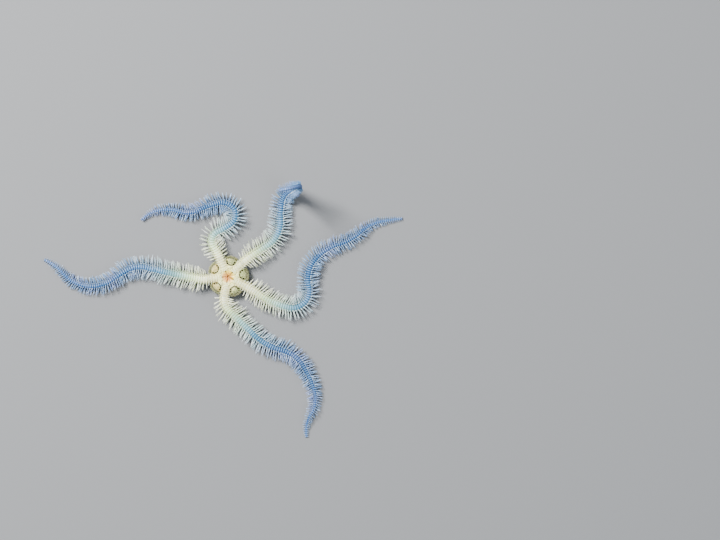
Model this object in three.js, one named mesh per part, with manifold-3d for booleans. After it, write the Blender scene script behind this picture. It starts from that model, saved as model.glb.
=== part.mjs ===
// A common brittle star (Ophiothrix), life size, lying on its back with the mouth upwards.
// Millimetres, +Z up. The origin is on the floor under the middle of the disc, and +X runs to the
// right as the animal is seen from above. Bearings are in degrees, anticlockwise from +X.
import * as THREE from "three";
import { mergeVertices } from "three/addons/utils/BufferGeometryUtils.js";
import Module from "manifold-3d";

const wasm = await Module();
wasm.setup();

// Driving dimensions
const discRadius = 9;
const discNotch = 0.7; // how far the margin draws in where an arm leaves
const oralLevel = 4.6; // height of the disc's oral face
const touchingGap = 0.3; // gap that neighbouring pieces keep
const restRadius = 4.5; // the flat that the disc rests on
const aboralRise = 1.1; // height where the aboral slope meets the rounded margin
const armStart = 9.3; // where an arm begins, from the middle of the disc
const armBaseLength = 9; // the straight part inside the disc
const armWidth = 4.2; // at the disc, without spines
const tipWidth = 0.9;
const taper = 2.2; // higher keeps an arm wide for longer
const flatness = 0.8; // an arm's height over its width
const armRise = 0.35; // how far the arm bases stand above the oral face
const dropLength = 14; // stretch over which an arm comes down to the floor
const spineLength = 3.9; // longest arm spine
const segmentLength = 1.15; // each segment of an arm carries one row of spines
const armSides = 12;
const tipRounding = 0.55;
const waveLength = 26; // spacing of the low arches between an arm's resting places
const waveHeight = 0.8;
const waveSharpness = 1.5;
const mouthRadius = 3;
const mouthDepth = 1.1;
const jawTip = 0.9; // distance of a jaw's tip from the middle of the mouth
const jawSpread = 30; // half the angle that a jaw fills
const jawRise = 0.25; // how far a jaw's outer end stands above the oral face
const firstBearing = 187;
const armStep = -72;

// Each arm: how it bends once clear of the disc, as [length, turn] pairs, and where it is divided.
// The third arm rises off the floor on its way out, as [length, pitch change] pairs.
const arms = [
  {
    name: "arm_a",
    bends: [[4.5, -17], [23.5, -4], [9.5, 43], [7.5, 7], [11.5, -41], [13.5, -44], [10.5, 27]],
    cuts: [30, 50, 70],
  },
  {
    name: "arm_b",
    bends: [[6, 5], [8, -96], [6.5, 13], [8, 90], [6.5, 62], [10, 19], [9, -46], [9.5, 28], [9.5, 41]],
    cuts: [25, 35.5, 50, 66],
  },
  {
    name: "arm_c",
    bends: [[4.5, -8], [9, -3], [13, 61], [8, -13], [8, -60], [38, -10]],
    cuts: [31, 48, 63, 76],
    riseStart: 43.5,
    rise: [[13, 84], [16, -10], [9, 80], [8, 110]],
  },
  {
    name: "arm_d",
    bends: [[7, -6], [14.5, 23], [15.5, 116], [14, -58], [12, -30], [11.5, 27], [11, -34], [9, -3]],
    cuts: [29, 39, 56, 78],
  },
  {
    name: "arm_e",
    bends: [[7, 58], [15, -2], [15, 31], [12, -44], [12, -15], [11.5, -48], [11, 42]],
    cuts: [30, 50, 70],
  },
];
arms.forEach((arm, i) => (arm.bearing = firstBearing + armStep * i));

const radians = THREE.MathUtils.degToRad;
const faceAngle = 360 / armSides;
const cornerCosine = Math.cos(radians(faceAngle / 2));
const smooth = (t) => THREE.MathUtils.smoothstep(t, 0, 1);
const zAxis = new THREE.Vector3(0, 0, 1);

// Repeatable small variations, from a multiplying generator
const drawFactor = 16807;
const drawLimit = 2147483647;
let draw = 7;
function vary(amount) {
  draw = (draw * drawFactor) % drawLimit;
  return amount * ((2 * draw) / drawLimit - 1);
}

const armLength = (arm) => armBaseLength + arm.bends.reduce((sum, [length]) => sum + length, 0);

function turnAt(pairs, distance) {
  let left = distance;
  let sum = 0;
  for (const [length, turn] of pairs) {
    sum += turn * THREE.MathUtils.clamp(left / length, 0, 1);
    left -= length;
  }
  return sum;
}

function widthAt(arm, s) {
  const u = s / armLength(arm);
  return tipWidth + (armWidth - tipWidth) * (1 - u ** taper);
}

// Height of an arm's lower face: down from the disc, then low arches between flats on the floor.
function undersideAt(arm, s) {
  const drop = oralLevel + armRise - armWidth * flatness;
  const down = drop * (1 - smooth((s - armStart) / dropLength));
  const past = Math.max(0, s - armStart - dropLength);
  return down + waveHeight * Math.max(0, Math.sin((2 * Math.PI * past) / waveLength)) ** waveSharpness;
}

// The arm's centre line as closely spaced frames, each with its forward, side and up directions.
const stepLength = 0.25;
for (const arm of arms) {
  arm.frames = [];
  const at = new THREE.Vector3();
  for (let i = 0; i * stepLength <= armLength(arm) + 1e-6; i++) {
    const s = i * stepLength;
    const heading = radians(arm.bearing + turnAt(arm.bends, s - armBaseLength));
    const pitch = arm.rise ? radians(turnAt(arm.rise, s - arm.riseStart)) : 0;
    const level = new THREE.Vector3(Math.cos(heading), Math.sin(heading), 0);
    const forward = level.clone().multiplyScalar(Math.cos(pitch)).addScaledVector(zAxis, Math.sin(pitch));
    const side = new THREE.Vector3(-level.y, level.x, 0);
    const up = new THREE.Vector3().crossVectors(forward, side);
    if (!arm.rise || s <= arm.riseStart) {
      at.z = undersideAt(arm, s) + (widthAt(arm, s) * flatness) / 2;
    }
    arm.frames.push({ at: at.clone(), forward, side, up });
    at.addScaledVector(forward, stepLength);
  }
}

function frameAt(arm, s) {
  const i = THREE.MathUtils.clamp(s / stepLength, 0, arm.frames.length - 1.001);
  const [a, b] = [arm.frames[Math.floor(i)], arm.frames[Math.floor(i) + 1]];
  const mixed = (key) => a[key].clone().lerp(b[key], i % 1);
  return {
    at: mixed("at"),
    forward: mixed("forward").normalize(),
    side: mixed("side").normalize(),
    up: mixed("up").normalize(),
  };
}

// Radius of the bend at s, for shortening the spines on its inner side; positive to the left.
const bendSpan = 3;
function bendRadiusAt(arm, s) {
  const [a, b] = [frameAt(arm, s - bendSpan / 2), frameAt(arm, s + bendSpan / 2)];
  const turn = Math.asin(THREE.MathUtils.clamp(a.side.dot(b.forward), -1, 1));
  return Math.abs(turn) < 0.02 ? Infinity : bendSpan / turn;
}

// Closed geometry to solid and back
function solid(geometry) {
  const bare = geometry.clone();
  bare.deleteAttribute("normal");
  bare.deleteAttribute("uv");
  const merged = mergeVertices(bare, 1e-4);
  return new wasm.Manifold(
    new wasm.Mesh({
      numProp: 3,
      vertProperties: merged.attributes.position.array,
      triVerts: new Uint32Array(merged.index.array),
    }),
  );
}

function largest(joined) {
  return joined.decompose().sort((a, b) => b.volume() - a.volume())[0];
}

function mesh(name, made, material) {
  const { vertProperties, triVerts } = made.getMesh();
  const geometry = new THREE.BufferGeometry();
  geometry.setAttribute("position", new THREE.BufferAttribute(vertProperties, 3));
  geometry.setIndex(new THREE.BufferAttribute(triVerts, 1));
  geometry.computeVertexNormals();
  const named = new THREE.Mesh(geometry, material);
  named.name = name;
  return named;
}

// The spines of one side of a segment: the face of the arm that each is drawn out of, where it points, and
// its length as a share of the longest. The shortest stand beside the bare band under the arm.
const fan = [
  { face: 60, elevation: 56, share: 0.5 },
  { face: 30, elevation: 33, share: 0.8 },
  { face: 0, elevation: 12, share: 1 },
  { face: -30, elevation: -6, share: 0.92 },
];

function spineLengthAt(arm, s, hand) {
  const u = s / armLength(arm);
  const shoulder = smooth((s - armStart) / 5); // shorter beside the disc
  const full = spineLength * (1 - u ** 3) * (0.6 + 0.4 * shoulder);
  const bend = bendRadiusAt(arm, s) * hand;
  const room = bend > 0 ? 0.75 * (bend - widthAt(arm, s) / 2) : Infinity;
  return Math.max(0.4, Math.min(full, room));
}

// A point of the arm's section: an angle of 0 is to the left, 90 is up.
function sectionPoint(arm, s, angle, size) {
  const { at, side, up } = frameAt(arm, s);
  const half = (widthAt(arm, s) / 2) * size;
  const point = at.clone().addScaledVector(side, half * Math.cos(radians(angle)));
  return point.addScaledVector(up, half * flatness * Math.sin(radians(angle)));
}

function spineTip(arm, s, place, hand) {
  const { forward, side, up } = frameAt(arm, s);
  const elevation = radians(place.elevation + vary(4));
  const direction = side.clone().multiplyScalar(hand * Math.cos(elevation));
  direction.addScaledVector(up, Math.sin(elevation)).addScaledVector(forward, vary(0.1)).normalize();
  const length = place.share * spineLengthAt(arm, s, hand) * (1 + vary(0.1));
  const face = hand > 0 ? place.face : 180 - place.face;
  return sectionPoint(arm, s, face, 1).addScaledVector(direction, length);
}

// One length of arm: twelve-cornered rings a segment apart, with side faces drawn out into spines.
function armLengthPiece(arm, number, from, to, isTip) {
  const count = Math.round((to - from) / segmentLength);
  const points = [];
  const triangles = [];
  for (let ring = 0; ring <= count; ring++) {
    const size = isTip && ring === count ? tipRounding : 1;
    for (let k = 0; k < armSides; k++) {
      const angle = (k - 0.5) * faceAngle;
      points.push(sectionPoint(arm, from + (ring / count) * (to - from), angle, size / cornerCosine));
    }
  }
  for (let ring = 0; ring < count; ring++) {
    for (let k = 0; k < armSides; k++) {
      const [near, far, next] = [ring * armSides, (ring + 1) * armSides, (k + 1) % armSides];
      const corners = [near + k, near + next, far + next, far + k];
      const angle = k > armSides * 0.75 ? k * faceAngle - 360 : k * faceAngle;
      const hand = Math.abs(angle) < 90 ? 1 : -1;
      const place = fan.find(({ face }) => face === (hand > 0 ? angle : 180 - angle));
      if (place) {
        const middle = from + ((ring + 0.5) / count) * (to - from);
        const tip = points.push(spineTip(arm, middle, place, hand)) - 1;
        corners.forEach((corner, i) => triangles.push(corner, corners[(i + 1) % 4], tip));
      } else {
        triangles.push(corners[0], corners[1], corners[2], corners[0], corners[2], corners[3]);
      }
    }
  }
  const last = count * armSides;
  for (let k = 1; k < armSides - 1; k++) {
    triangles.push(0, k + 1, k, last, last + k, last + k + 1);
  }
  const geometry = new THREE.BufferGeometry().setFromPoints(points);
  geometry.setIndex(triangles);
  geometry.computeVertexNormals();
  const named = new THREE.Mesh(geometry, armMaterial);
  named.name = `${arm.name}_${number}`;
  return named;
}

const armMaterial = new THREE.MeshStandardMaterial({ color: 0xc9d8e2, roughness: 0.45, metalness: 0 });
const discMaterial = new THREE.MeshStandardMaterial({ color: 0xd9d3ae, roughness: 0.55, metalness: 0 });
const jawMaterial = new THREE.MeshStandardMaterial({ color: 0xd98a55, roughness: 0.5, metalness: 0 });

const star = new THREE.Group();

for (const arm of arms) {
  const edges = [armStart, ...arm.cuts, armLength(arm)];
  edges.slice(1).forEach((to, i) => {
    const isTip = i === arm.cuts.length;
    const from = edges[i] + (i ? touchingGap / 2 : 0);
    star.add(armLengthPiece(arm, i + 1, from, isTip ? to : to - touchingGap / 2, isTip));
  });
}

// The disc: a flattened body that bulges between each two arms.
const lobeAngle = (angle) => 5 * (angle - radians(firstBearing));
const marginAt = (angle) => discRadius - (discNotch / 2) * (1 + Math.cos(lobeAngle(angle)));
const slopeEnd = 0.9 * discRadius;
const aboralSlope = Math.atan2(aboralRise, slopeEnd - restRadius);

function discBody() {
  const profile = [
    [0, 0],
    [restRadius, 0],
    [slopeEnd, aboralRise],
    [discRadius, oralLevel * 0.53],
    [discRadius * 0.97, oralLevel * 0.76],
    [discRadius * 0.86, oralLevel * 0.93],
    [discRadius * 0.7, oralLevel],
    [0, oralLevel],
  ].map(([r, z]) => new THREE.Vector2(r, z));
  const body = new THREE.LatheGeometry(profile, 40);
  body.rotateX(Math.PI / 2);
  const position = body.attributes.position;
  for (let i = 0; i < position.count; i++) {
    const [x, y] = [position.getX(i), position.getY(i)];
    const size = marginAt(Math.atan2(y, x)) / discRadius;
    position.setXY(i, x * size, y * size);
  }
  return solid(body);
}

// Something built along +X and turned to a bearing.
function turned(geometry, bearing) {
  geometry.rotateZ(radians(bearing));
  return solid(geometry);
}

// A flat plate from an outline in X and Y.
function plate(outline, thickness) {
  const points = outline.map(([x, y]) => new THREE.Vector2(x, y));
  return new THREE.ExtrudeGeometry(new THREE.Shape(points), { depth: thickness, bevelEnabled: false });
}

// The arm's root inside the disc: a bar with the arm's own section, ending face to face with the arm.
function armRoot(arm) {
  const inner = mouthRadius + 0.6;
  const length = armStart - touchingGap - inner;
  const bar = new THREE.CylinderGeometry(1, 1, length, armSides, 1, false, Math.PI / armSides);
  const half = armWidth / 2 / cornerCosine;
  bar.scale(half, 1, half * flatness);
  bar.rotateZ(-Math.PI / 2);
  bar.rotateX(Math.PI / 2);
  bar.translate(inner + length / 2, 0, oralLevel + armRise - (armWidth / 2) * flatness);
  return turned(bar, arm.bearing);
}

// A five-sided plate between two arms, just outside the mouth.
const oral = { start: mouthRadius + 0.6, length: 1.7, thickness: 0.9, raised: 0.25 };
function oralShield(bearing) {
  const half = oral.length / 2;
  const side = [[half, 1.2 * half], [2 * half, 0.8 * half]];
  const shield = plate([[0, 0], ...side.map(([x, y]) => [x, -y]), ...side.toReversed()], oral.thickness);
  shield.translate(oral.start, 0, oralLevel + oral.raised - oral.thickness);
  return turned(shield, bearing);
}

// A slit beside each arm root.
const slit = { length: 2.9, width: 0.5, depth: 1.5, middle: 6.9, side: 2.35, spread: 3 };
function bursalSlit(bearing, hand) {
  const cut = new THREE.BoxGeometry(slit.length, slit.width, 2 * slit.depth);
  cut.rotateZ(radians(hand * slit.spread));
  cut.translate(slit.middle, hand * slit.side, oralLevel);
  return turned(cut, bearing);
}

// A bare three-cornered plate on the aboral slope, a pair for each arm.
const radial = { start: 5.3, length: 3, width: 2.2, thickness: 0.8, raised: 0.2 };
function radialShield(bearing, hand) {
  const { start, length, width } = radial;
  const corners = [[0, 0.25 * width], [length, 0.1 * width], [length, 0.85 * width], [0.8 * length, width]];
  const shield = plate(corners.map(([x, y]) => [x, hand * y]), radial.thickness);
  shield.rotateY(-aboralSlope);
  shield.translate(start, 0, (start - restRadius) * Math.tan(aboralSlope) - radial.raised);
  return turned(shield, bearing);
}

// A tapered three-sided spine from root towards direction.
function spine(root, direction, length, radius) {
  const geometry = new THREE.ConeGeometry(radius, length, 3, 1);
  geometry.translate(0, length / 2, 0);
  const turn = new THREE.Quaternion().setFromUnitVectors(new THREE.Vector3(0, 1, 0), direction);
  geometry.applyQuaternion(turn);
  geometry.translate(root.x, root.y, root.z);
  return solid(geometry);
}

// Spinelets round the margin of a lobe, in three tiers.
const spinelet = { length: 2.3, radius: 0.45, columns: [-11, 0, 11] };
const tiers = [
  { height: 1.7, tilt: -0.45 },
  { height: 2.6, tilt: 0 },
  { height: 3.9, tilt: 0.45 },
];
function spinelets(bearing) {
  return tiers.flatMap(({ height, tilt }) =>
    spinelet.columns.map((column) => {
      const angle = radians(bearing + column + 4 * tilt + vary(2));
      const out = new THREE.Vector3(Math.cos(angle), Math.sin(angle), tilt).normalize();
      const root = new THREE.Vector3(Math.cos(angle), Math.sin(angle), 0);
      root.multiplyScalar(marginAt(angle) * 0.85).setZ(height);
      return spine(root, out, spinelet.length + vary(0.25), spinelet.radius);
    }),
  );
}

const lobeBearings = arms.map((arm) => arm.bearing + armStep / 2);
const hands = [-1, 1];
const mouth = new THREE.CylinderGeometry(mouthRadius, mouthRadius, 2 * mouthDepth, 20);
mouth.rotateX(Math.PI / 2);
mouth.translate(0, 0, oralLevel);
const discPieces = [
  discBody(),
  ...arms.map(armRoot),
  ...lobeBearings.map(oralShield),
  ...lobeBearings.flatMap(spinelets),
  ...arms.flatMap((arm) => hands.map((hand) => radialShield(arm.bearing, hand))),
];
const discCuts = [
  solid(mouth),
  ...arms.flatMap((arm) => hands.map((hand) => bursalSlit(arm.bearing, hand))),
];
const disc = wasm.Manifold.union(discPieces).subtract(wasm.Manifold.union(discCuts));
star.add(mesh("disc", largest(disc), discMaterial));

// The five jaws, one between each two arms. Each slopes down to its tip, where the tooth papillae stand.
const papilla = { length: 1.15, radius: 0.32 };
const papillae = [
  { reach: 0.25, across: -0.3, lean: 0.5 },
  { reach: 0.25, across: 0.3, lean: 0.5 },
  { reach: 0.6, across: 0, lean: 0.2 },
  { reach: 0.85, across: -0.5, lean: 0 },
  { reach: 0.85, across: 0.5, lean: 0 },
];

function jaw(bearing) {
  const outer = mouthRadius - touchingGap - 0.05;
  const [far, side] = [outer * Math.cos(radians(jawSpread)), outer * Math.sin(radians(jawSpread))];
  const floor = oralLevel - mouthDepth + touchingGap;
  const outline = [[jawTip, -0.3], [far, -side], [outer, -0.6], [outer, 0.6], [far, side], [jawTip, 0.3]];
  const block = plate(outline, oralLevel + jawRise - floor);
  block.translate(0, 0, floor);
  const position = block.attributes.position;
  for (let i = 0; i < position.count; i++) {
    const isTipTop = position.getX(i) < jawTip + 0.1 && position.getZ(i) > oralLevel;
    if (isTipTop) position.setZ(i, oralLevel - 0.3);
  }
  const pieces = [turned(block, bearing)];
  for (const { reach, across, lean } of papillae) {
    const root = new THREE.Vector3(jawTip + reach, across, oralLevel - 0.55 + 0.25 * reach);
    const direction = new THREE.Vector3(-lean, across * 0.2, 1).normalize();
    root.applyAxisAngle(zAxis, radians(bearing));
    direction.applyAxisAngle(zAxis, radians(bearing));
    pieces.push(spine(root, direction, papilla.length, papilla.radius));
  }
  return largest(wasm.Manifold.union(pieces));
}
lobeBearings.forEach((bearing, i) => star.add(mesh(`jaw_${i + 1}`, jaw(bearing), jawMaterial)));

export default star;
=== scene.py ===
import bpy
import bmesh
import math
import numpy as np
from mathutils import Matrix, Vector, kdtree
from mathutils.bvhtree import BVHTree


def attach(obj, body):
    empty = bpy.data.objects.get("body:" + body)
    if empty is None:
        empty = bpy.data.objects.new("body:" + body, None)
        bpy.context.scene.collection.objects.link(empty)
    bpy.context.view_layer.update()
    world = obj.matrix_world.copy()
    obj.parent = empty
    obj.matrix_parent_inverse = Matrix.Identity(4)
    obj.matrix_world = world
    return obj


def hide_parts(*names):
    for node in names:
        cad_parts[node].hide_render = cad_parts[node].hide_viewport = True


# A common brittle star, life size, on its back with its mouth upwards.
# Pieces are modelled in millimetres and brought to metres when they are finished.
# Bearings are in degrees, anticlockwise from +X.
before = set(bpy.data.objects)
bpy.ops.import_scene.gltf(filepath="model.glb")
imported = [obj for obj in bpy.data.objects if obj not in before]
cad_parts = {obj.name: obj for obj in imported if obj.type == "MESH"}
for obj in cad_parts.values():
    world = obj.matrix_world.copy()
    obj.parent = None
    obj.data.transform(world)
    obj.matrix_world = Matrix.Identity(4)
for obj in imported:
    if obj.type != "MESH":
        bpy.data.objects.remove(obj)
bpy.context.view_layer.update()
mm = 0.001

# the animal's own sizes, as the solids have them
animal = {
    "discRadius": 9, "discNotch": 0.7, "oralLevel": 4.6, "restRadius": 4.5, "aboralRise": 1.1,
    "armStart": 9.3, "armBaseLength": 9, "armWidth": 4.2, "tipWidth": 0.9, "taper": 2.2, "flatness": 0.8,
    "armRise": 0.35, "dropLength": 14, "waveLength": 26, "waveHeight": 0.8, "waveSharpness": 1.5,
    "tipRound": 0.7, "mouthRadius": 3, "mouthDepth": 1.1, "firstBearing": 187, "armStep": -72, "step": 0.25,
}

# each arm's bends once it is clear of the disc, as (length, turn); the third one also rises off the floor
arms = [
    {"name": "armA", "bends": [(4.5, -17), (23.5, -4), (9.5, 43), (7.5, 7), (11.5, -41), (13.5, -44),
                               (10.5, 27)]},
    {"name": "armB", "bends": [(6, 5), (8, -96), (6.5, 13), (8, 90), (6.5, 62), (10, 19), (9, -46),
                               (9.5, 28), (9.5, 41)]},
    {"name": "armC", "bends": [(4.5, -8), (9, -3), (13, 61), (8, -13), (8, -60), (38, -10)],
     "riseStart": 43.5, "rise": [(13, 84), (16, -10), (9, 80), (8, 110)],
     # where its spines begin to shorten, over what length and to what share; where the tones stop changing,
     # as painted shade that keeps the raised end a darker blue
     "spineDrop": (42, 12, 0.74), "tonesUntil": 0.8},
    {"name": "armD", "bends": [(7, -6), (14.5, 23), (15.5, 116), (14, -58), (12, -30), (11.5, 27),
                               (11, -34), (9, -3)]},
    {"name": "armE", "bends": [(7, 58), (15, -2), (15, 31), (12, -44), (12, -15), (11.5, -48), (11, 42)]},
]


# the camera looks straight down and takes in what the photograph does
def setCamera():
    shot = {
        "pixel": 0.45 * mm,  # one pixel of the photograph, on the floor
        "wide": 720, "high": 540,
        "discAt": (228.5, 276.5),  # pixel of the middle of the disc
        "lens": 150, "sensor": 36,
    }
    distance = shot["wide"] * shot["pixel"] * shot["lens"] / shot["sensor"]
    right = (shot["wide"] / 2 - shot["discAt"][0]) * shot["pixel"]
    up = (shot["discAt"][1] - shot["high"] / 2) * shot["pixel"]
    bpy.ops.object.camera_add(location=(right, up, distance), rotation=(0, 0, 0))
    camera = bpy.context.object
    camera.data.lens = shot["lens"]
    camera.data.sensor_width = shot["sensor"]
    camera.data.clip_start = 0.01
    bpy.context.scene.camera = camera


def setStage():
    stage = {
        "floorSize": 8, "floorTone": (0.175, 0.181, 0.19), "floorRoughness": 0.75,
        "ambient": (0.6, 0.65, 0.7), "ambientLight": 0.74,
    }
    bpy.ops.mesh.primitive_plane_add(size=stage["floorSize"])
    floor = bpy.context.object
    floor.name = "floor"
    paint = bpy.data.materials.new("floorPaint")
    paint.use_nodes = True
    shader = paint.node_tree.nodes["Principled BSDF"]
    shader.inputs["Base Color"].default_value = (*stage["floorTone"], 1)
    shader.inputs["Roughness"].default_value = stage["floorRoughness"]
    floor.data.materials.append(paint)
    world = bpy.data.worlds.new("studio")
    world.use_nodes = True
    background = world.node_tree.nodes["Background"].inputs
    background["Color"].default_value = (*stage["ambient"], 1)
    background["Strength"].default_value = stage["ambientLight"]
    bpy.context.scene.world = world


def setLights():
    lamps = [  # place, size and power of each soft lamp
        {"name": "keyLamp", "at": (-0.62, 0.55, 0.95), "size": 0.42, "power": 56, "tone": (1, 0.985, 0.96)},
        {"name": "fillLamp", "at": (0.95, -0.45, 0.8), "size": 0.9, "power": 8, "tone": (0.92, 0.96, 1)},
    ]
    for lamp in lamps:
        bpy.ops.object.light_add(type="AREA", location=lamp["at"])
        light = bpy.context.object
        light.name = lamp["name"]
        light.rotation_euler = (-Vector(lamp["at"])).to_track_quat("-Z", "Y").to_euler()
        light.data.size = lamp["size"]
        light.data.energy = lamp["power"]
        light.data.color = lamp["tone"]


setCamera()
setStage()
setLights()
print("camera, floor and lights are set")


# only this object selected and active
def choose(piece):
    bpy.ops.object.select_all(action="DESELECT")
    piece.select_set(True)
    bpy.context.view_layer.objects.active = piece


def edit(piece, kind="FACE"):
    choose(piece)
    bpy.ops.object.mode_set(mode="EDIT")
    bpy.ops.mesh.select_mode(type=kind)


def leaveEdit():
    bpy.ops.object.mode_set(mode="OBJECT")


# selects the faces or vertices whose middle passes a test; the piece is in edit mode
def pick(piece, test, kind="FACE"):
    bpy.ops.mesh.select_mode(type=kind)
    bpy.ops.mesh.select_all(action="DESELECT")
    form = bmesh.from_edit_mesh(piece.data)
    for part in form.faces if kind == "FACE" else form.verts:
        middle = part.calc_center_median() if kind == "FACE" else part.co
        if test(middle):
            part.select_set(True)
    form.select_flush_mode()
    bmesh.update_edit_mesh(piece.data)


def pickAll():
    bpy.ops.mesh.select_all(action="SELECT")


def faceOutwards():
    pickAll()
    bpy.ops.mesh.normals_make_consistent(inside=False)


def closeHoles():
    pickAll()
    bpy.ops.mesh.fill_holes(sides=0)
    faceOutwards()


def bevelAll(offset):
    bpy.ops.mesh.select_mode(type="EDGE")
    pickAll()
    bpy.ops.mesh.bevel(offset=offset, segments=2, affect="EDGES")


def cutAt(points, direction):
    for point in points:
        pickAll()
        bpy.ops.mesh.bisect(plane_co=point, plane_no=direction, threshold=1e-5)


def applyPlace(piece):
    choose(piece)
    bpy.ops.object.transform_apply(location=True, rotation=True, scale=True)


# a rod along +X from the origin, cut across at places along it and left in edit mode
def addRod(sides, cuts, length=1, radius=0.5, ends="NGON"):
    bpy.ops.mesh.primitive_cylinder_add(
        vertices=sides, radius=radius, depth=length, end_fill_type=ends,
        location=(length / 2, 0, 0), rotation=(0, math.radians(90), 0))
    rod = bpy.context.object
    applyPlace(rod)
    edit(rod)
    cutAt([(x, 0, 0) for x in cuts], (1, 0, 0))
    return rod


# scales rings of a rod, each given as (place, size) or (place, width, height)
def shapeRings(rod, rings):
    for x, *size in rings:
        pick(rod, lambda p: abs(p.x - x) < 0.001, "VERT")
        bpy.ops.transform.resize(value=(1, size[0], size[-1]), center_override=(x, 0, 0))


def addModifier(piece, kind, **settings):
    choose(piece)
    modifier = piece.modifiers.new(kind.lower(), kind)
    for key, value in settings.items():
        setattr(modifier, key, value)
    bpy.ops.object.modifier_apply(modifier=modifier.name)


def join(pieces, name):
    choose(pieces[0])
    for piece in pieces[1:]:
        piece.select_set(True)
    bpy.ops.object.join()
    bpy.context.object.name = name
    return bpy.context.object


# a copy with its own mesh, turned about the upright axis
def turnedCopy(piece, bearing=0):
    copy = piece.copy()
    copy.data = piece.data.copy()
    bpy.context.scene.collection.objects.link(copy)
    copy.data.transform(Matrix.Rotation(math.radians(bearing), 4, "Z"))
    return copy


def discard(piece):
    bpy.data.objects.remove(piece)


# copies at several bearings, joined, in place of the piece itself
def repeatAt(bearings, piece, name):
    copies = [turnedCopy(piece, bearing) for bearing in bearings]
    discard(piece)
    return join(copies, name)


def points(piece):
    co = np.empty(len(piece.data.vertices) * 3)
    piece.data.vertices.foreach_get("co", co)
    return co.reshape(-1, 3)


def setPoints(piece, co):
    piece.data.vertices.foreach_set("co", co.astype(np.float32).ravel())
    piece.data.update()


def addValues(piece, name, values):
    layer = piece.data.attributes.new(name, "FLOAT", "POINT")
    layer.data.foreach_set("value", np.asarray(values, np.float32))


def smoothStep(t):
    t = np.clip(t, 0, 1)
    return t * t * (3 - 2 * t)


# how far a list of (length, turn) has turned at a distance along it
def turnAt(bends, distance):
    left = np.array(distance, float)
    turned = np.zeros_like(left)
    for length, turn in bends:
        turned += turn * np.clip(left / length, 0, 1)
        left -= length
    return turned


def widthAt(arm, s):
    u = np.clip(s / arm["length"], 0, 1)
    return animal["tipWidth"] + (animal["armWidth"] - animal["tipWidth"]) * (1 - u ** animal["taper"])


def undersideAt(s):
    drop = animal["oralLevel"] + animal["armRise"] - animal["armWidth"] * animal["flatness"]
    down = drop * (1 - smoothStep((s - animal["armStart"]) / animal["dropLength"]))
    past = np.maximum(0, s - animal["armStart"] - animal["dropLength"])
    arch = np.maximum(0, np.sin(2 * np.pi * past / animal["waveLength"])) ** animal["waveSharpness"]
    return down + animal["waveHeight"] * arch


def unit(v):
    return v / np.linalg.norm(v, axis=-1, keepdims=True)


# directions outwards and to the left at a bearing
def directionsAt(bearing):
    turn = math.radians(bearing)
    return np.array([math.cos(turn), math.sin(turn), 0]), np.array([-math.sin(turn), math.cos(turn), 0])


# the centre line of an arm, with the directions along it, to its left and up from it
def layArm(arm, bearing):
    arm["bearing"] = bearing
    arm["length"] = animal["armBaseLength"] + sum(length for length, turn in arm["bends"])
    s = np.arange(0, arm["length"] + 1e-6, animal["step"])
    heading = np.radians(bearing + turnAt(arm["bends"], s - animal["armBaseLength"]))
    riseStart = arm.get("riseStart", arm["length"])
    pitch = np.radians(turnAt(arm.get("rise", []), s - riseStart))
    level = np.stack([np.cos(heading), np.sin(heading), 0 * s], axis=1)
    forward = level * np.cos(pitch)[:, None] + np.outer(np.sin(pitch), [0, 0, 1])
    side = np.stack([-level[:, 1], level[:, 0], 0 * s], axis=1)
    at = np.vstack([np.zeros(3), np.cumsum(forward[:-1] * animal["step"], axis=0)])
    flat = s <= riseStart
    height = undersideAt(s) + widthAt(arm, s) * animal["flatness"] / 2
    last = np.flatnonzero(flat)[-1]
    at[:, 2] += height[last] - at[last, 2]
    at[flat, 2] = height[flat]
    arm.update(s=s, at=at, forward=forward, side=side, up=np.cross(forward, side))


# centre point and directions at any distances along an arm
def frameAt(arm, s):
    i = np.clip(np.asarray(s, float) / animal["step"], 0, len(arm["s"]) - 1.001)
    low = i.astype(int)
    share = (i - low)[..., None]
    at, forward, side, up = (
        arm[key][low] * (1 - share) + arm[key][low + 1] * share for key in ("at", "forward", "side", "up")
    )
    return at, unit(forward), unit(side), unit(up)


# radius of the bend, positive where it turns left
def bendRadiusAt(arm, s):
    span = 3  # length of arm that is looked at
    forward, side = frameAt(arm, s + span / 2)[1], frameAt(arm, s - span / 2)[2]
    turn = np.arcsin(np.clip(np.sum(forward * side, axis=-1), -1, 1))
    return np.where(np.abs(turn) < 0.02, np.inf, span / np.where(turn == 0, 1, turn))


for number, arm in enumerate(arms):
    layArm(arm, animal["firstBearing"] + animal["armStep"] * number)
armBearings = [arm["bearing"] for arm in arms]
lobeBearings = [bearing + animal["armStep"] / 2 for bearing in armBearings]

# the joints of an arm, closer together towards its tip
joints = {"first": 2.4, "pitch": 1.14, "tipPitch": 0.9}
for arm in arms:
    s = [joints["first"]]
    while s[-1] < arm["length"]:
        u = s[-1] / arm["length"]
        s.append(s[-1] + joints["pitch"] + (joints["tipPitch"] - joints["pitch"]) * u)
    s = np.array(s)
    arm["joints"] = s[0] + (s - s[0]) * (arm["length"] - s[0]) / (s[-1] - s[0])


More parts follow.
